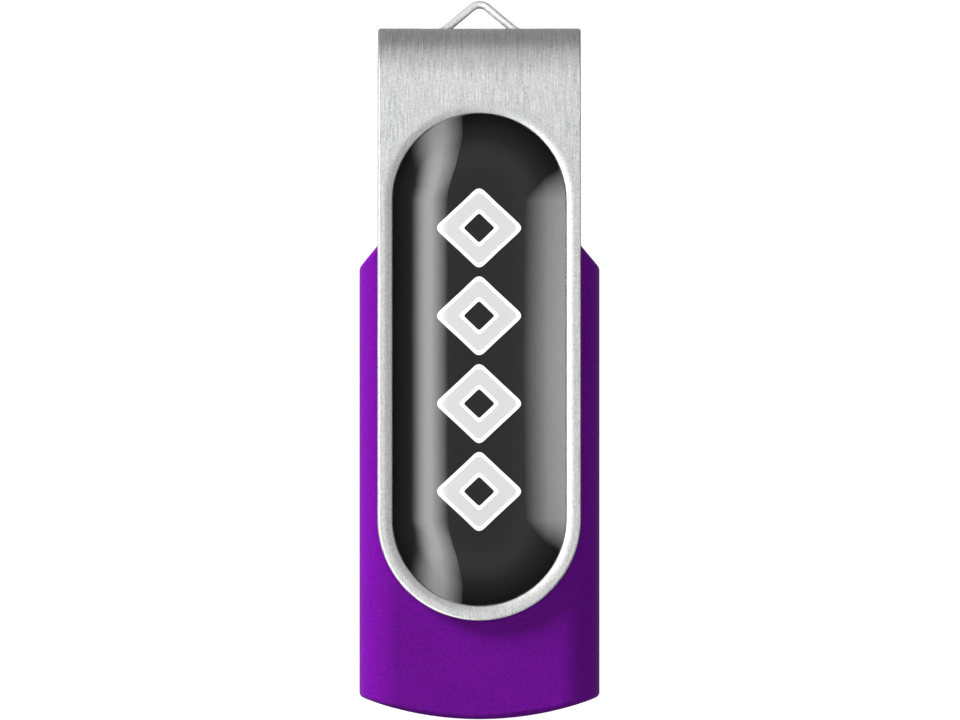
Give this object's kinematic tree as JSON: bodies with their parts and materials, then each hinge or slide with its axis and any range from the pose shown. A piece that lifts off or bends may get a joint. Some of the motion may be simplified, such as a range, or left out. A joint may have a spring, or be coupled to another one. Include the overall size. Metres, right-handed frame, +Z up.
{
  "type": "usb flash drive",
  "caption": "USB flash drive with a purple plastic housing, a swivelling brushed aluminium clip with a domed oval label, and a wire loop for a lanyard.",
  "frame": {"origin": "below the middle of the whole drive, on the surface that it lies on", "axes": "+Z up through the domed label, +Y towards the closed end of the clip and the wire loop, +X across the drive"},
  "size_m": [0.019, 0.0568, 0.0108],
  "materials": {
    "housing": "soft-touch satin",
    "clip": "brushed along its length, satin on the rounded rim",
    "label": "printed film",
    "dome": "clear poured resin",
    "loop": "satin nickel-plated wire",
    "plug_shell": "nickel-plated steel",
    "insulator": "moulded",
    "contacts": "gold plated",
    "circuit_board": "solder mask",
    "chips": "moulded epoxy",
    "leads": "tinned",
    "led": "clear tinted",
    "capacitors": "fired"
  },
  "bodies": {
    "housing": {"upper_housing": "housing", "lower_housing": "housing", "plug_shell": "plug_shell", "plug_insulator": "insulator", "contact_vbus": "contacts", "contact_d_minus": "contacts", "contact_d_plus": "contacts", "contact_gnd": "contacts", "circuit_board": "circuit_board", "flash_memory": "chips", "flash_leads": "leads", "controller_chip": "chips", "controller_leads": "leads", "crystal": "leads", "voltage_regulator": "chips", "status_led": "led", "capacitors": "capacitors", "resistors": "chips", "solder_joints": "leads"},
    "clip": {"swivel_clip": "clip", "label_film": "label", "resin_dome": "dome"},
    "loop": {"lanyard_loop": "loop"}
  },
  "joints": [
    {"name": "clip_swivel", "type": "hinge", "parent": "housing", "child": "clip", "pos_m": [0, -0.0126, 0.00485], "axis": [0, 0, 1], "continuous": true},
    {"name": "loop_swing", "type": "hinge", "parent": "clip", "child": "loop", "pos_m": [0, 0.02498, 0.00485], "axis": [1, 0, 0], "range_deg": [0, 50]}
  ]
}
